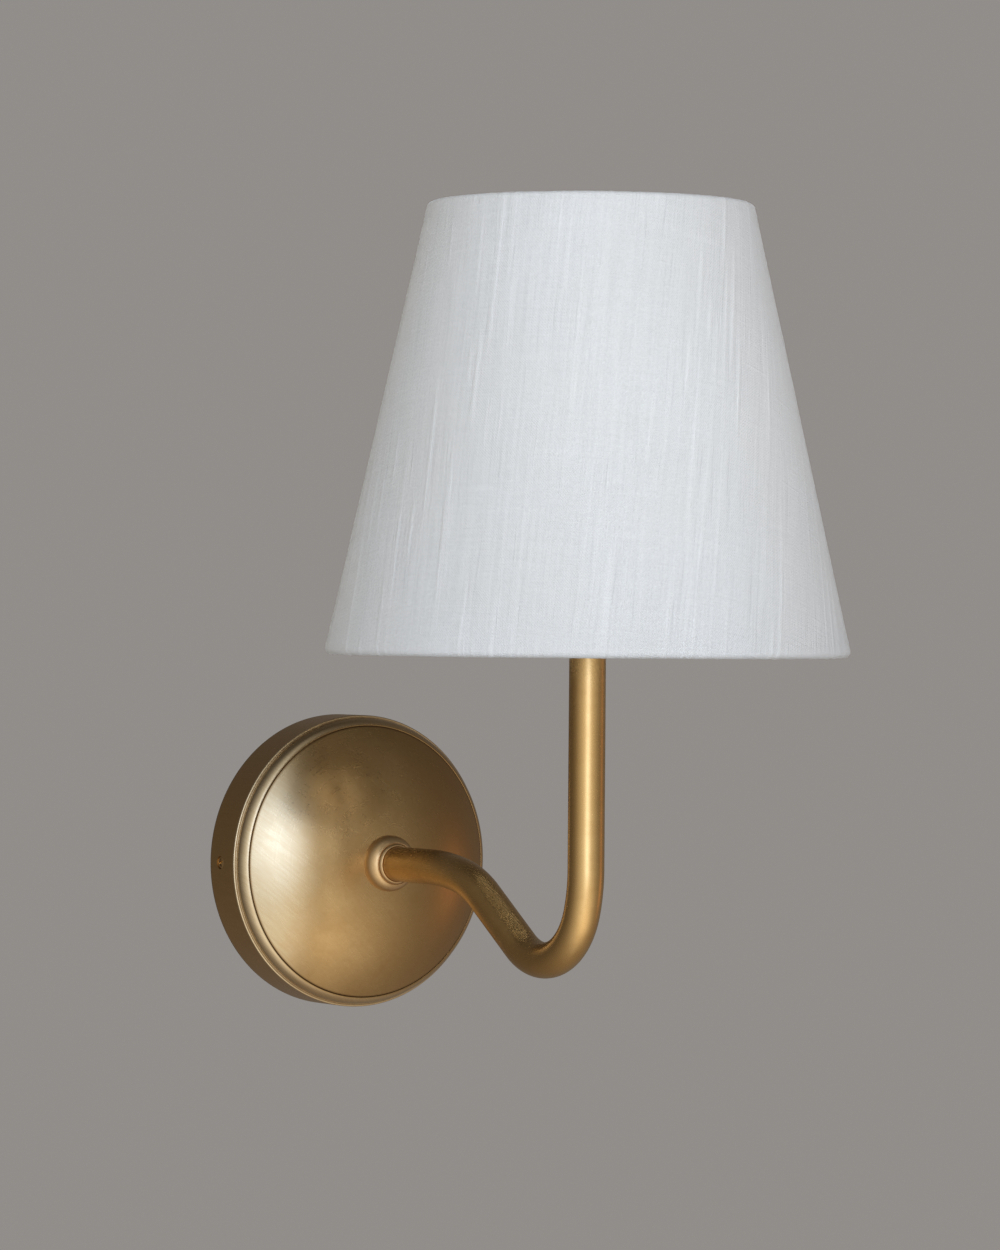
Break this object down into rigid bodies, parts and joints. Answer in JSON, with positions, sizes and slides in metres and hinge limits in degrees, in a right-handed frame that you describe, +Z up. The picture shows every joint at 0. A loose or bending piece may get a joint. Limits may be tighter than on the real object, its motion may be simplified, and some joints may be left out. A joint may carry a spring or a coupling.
{
  "type": "wall light",
  "caption": "Wall light with a domed round brass backplate, a fixed swan neck tube arm, an upright lampholder and a tapered linen drum shade.",
  "frame": {"origin": "centre of the backplate's back face, in the wall plane, on the axis of the arm's first straight run", "axes": "+Y into the wall, the light stands out along -Y; +Z up; X along the wall, +X to the right as seen from the room"},
  "size_m": [0.1988, 0.2844, 0.316],
  "materials": {
    "antique_brass": "satin antique brass, finely brushed and lacquered",
    "dark_steel": "zinc plated",
    "inner_brass": "turned brass, bright",
    "screw_brass": "antique brass, dull",
    "terminal_plastic": "moulded, semi-matt",
    "black_plastic": "moulded bush",
    "flex_pvc": "PVC sheath",
    "core_brown": "PVC insulation",
    "core_blue": "PVC insulation",
    "core_green_yellow": "PVC insulation, green and yellow",
    "ceramic_white": "unglazed technical ceramic",
    "nickel": "nickel plated",
    "linen": "slub linen, off white",
    "linen_trim": "slub linen, rolled edge",
    "liner_white": "laminated styrene liner",
    "wire_white": "white epoxy coated wire",
    "lamp_glass": "clear glass",
    "filament_yellow": "phosphor coated filament",
    "lamp_metal": "drawn metal cap"
  },
  "bodies": {
    "fitting": {"wall_bracket": "dark_steel", "earth_washer": "nickel", "earth_ring_lug": "nickel", "earth_screw": "inner_brass", "terminal_block": "terminal_plastic", "terminal_barrels": "inner_brass", "terminal_screws": "nickel", "terminal_block_screws": "nickel", "backplate": "antique_brass", "arm_ferrule": "antique_brass", "arm_tube": "antique_brass", "arm_root_bush": "inner_brass", "arm_nipple": "inner_brass", "arm_backing_plate": "dark_steel", "arm_washer": "nickel", "arm_nut": "inner_brass", "cable_bush": "black_plastic", "arm_flex": "flex_pvc", "live_wire": "core_brown", "neutral_wire": "core_blue", "earth_wire": "core_green_yellow", "earth_lead": "core_green_yellow", "arm_top_bush": "inner_brass", "lampholder_nipple": "inner_brass", "lampholder_cap": "antique_brass", "lampholder_grub_screw": "screw_brass", "lampholder_locknut": "inner_brass", "lampholder_core": "ceramic_white", "lampholder_clamps": "inner_brass", "lampholder_clamp_screws": "nickel", "lampholder_leads": "core_brown", "lampholder_skirt": "antique_brass", "lampholder_screw_shell": "nickel", "lampholder_contact": "inner_brass"},
    "side_screw_left": {"side_screw_left": "screw_brass"},
    "side_screw_right": {"side_screw_right": "screw_brass"},
    "shade_ring": {"shade_ring": "antique_brass"},
    "shade": {"shade_fabric": "linen", "shade_liner": "liner_white", "shade_lap": "linen", "shade_bottom_ring": "wire_white", "shade_top_ring": "wire_white", "shade_bottom_hem": "linen_trim", "shade_top_hem": "linen_trim", "shade_carrier_ring": "wire_white", "shade_spider": "wire_white"},
    "lamp": {"lamp_cap": "lamp_metal", "lamp_insulator": "black_plastic", "lamp_contact": "inner_brass", "lamp_glass": "lamp_glass", "lamp_stem": "lamp_glass", "lamp_filaments": "filament_yellow", "lamp_supports": "nickel"}
  },
  "joints": [
    {"name": "shade_turn", "type": "hinge", "parent": "fitting", "child": "shade", "pos_m": [0, -0.183, 0.1204], "axis": [0, 0, 1], "continuous": true},
    {"name": "shade_ring_turn", "type": "hinge", "parent": "fitting", "child": "shade_ring", "pos_m": [0, -0.183, 0.1245], "axis": [0, 0, 1], "range_deg": [0, 3420]},
    {"name": "lamp_turn", "type": "hinge", "parent": "fitting", "child": "lamp", "pos_m": [0, -0.183, 0.13], "axis": [0, 0, 1], "range_deg": [0, 1800]},
    {"name": "side_screw_left_turn", "type": "hinge", "parent": "fitting", "child": "side_screw_left", "pos_m": [-0.0572, -0.008, 0], "axis": [-1, 0, 0], "range_deg": [0, 3960]},
    {"name": "side_screw_right_turn", "type": "hinge", "parent": "fitting", "child": "side_screw_right", "pos_m": [0.0572, -0.008, 0], "axis": [1, 0, 0], "range_deg": [0, 3960]}
  ]
}
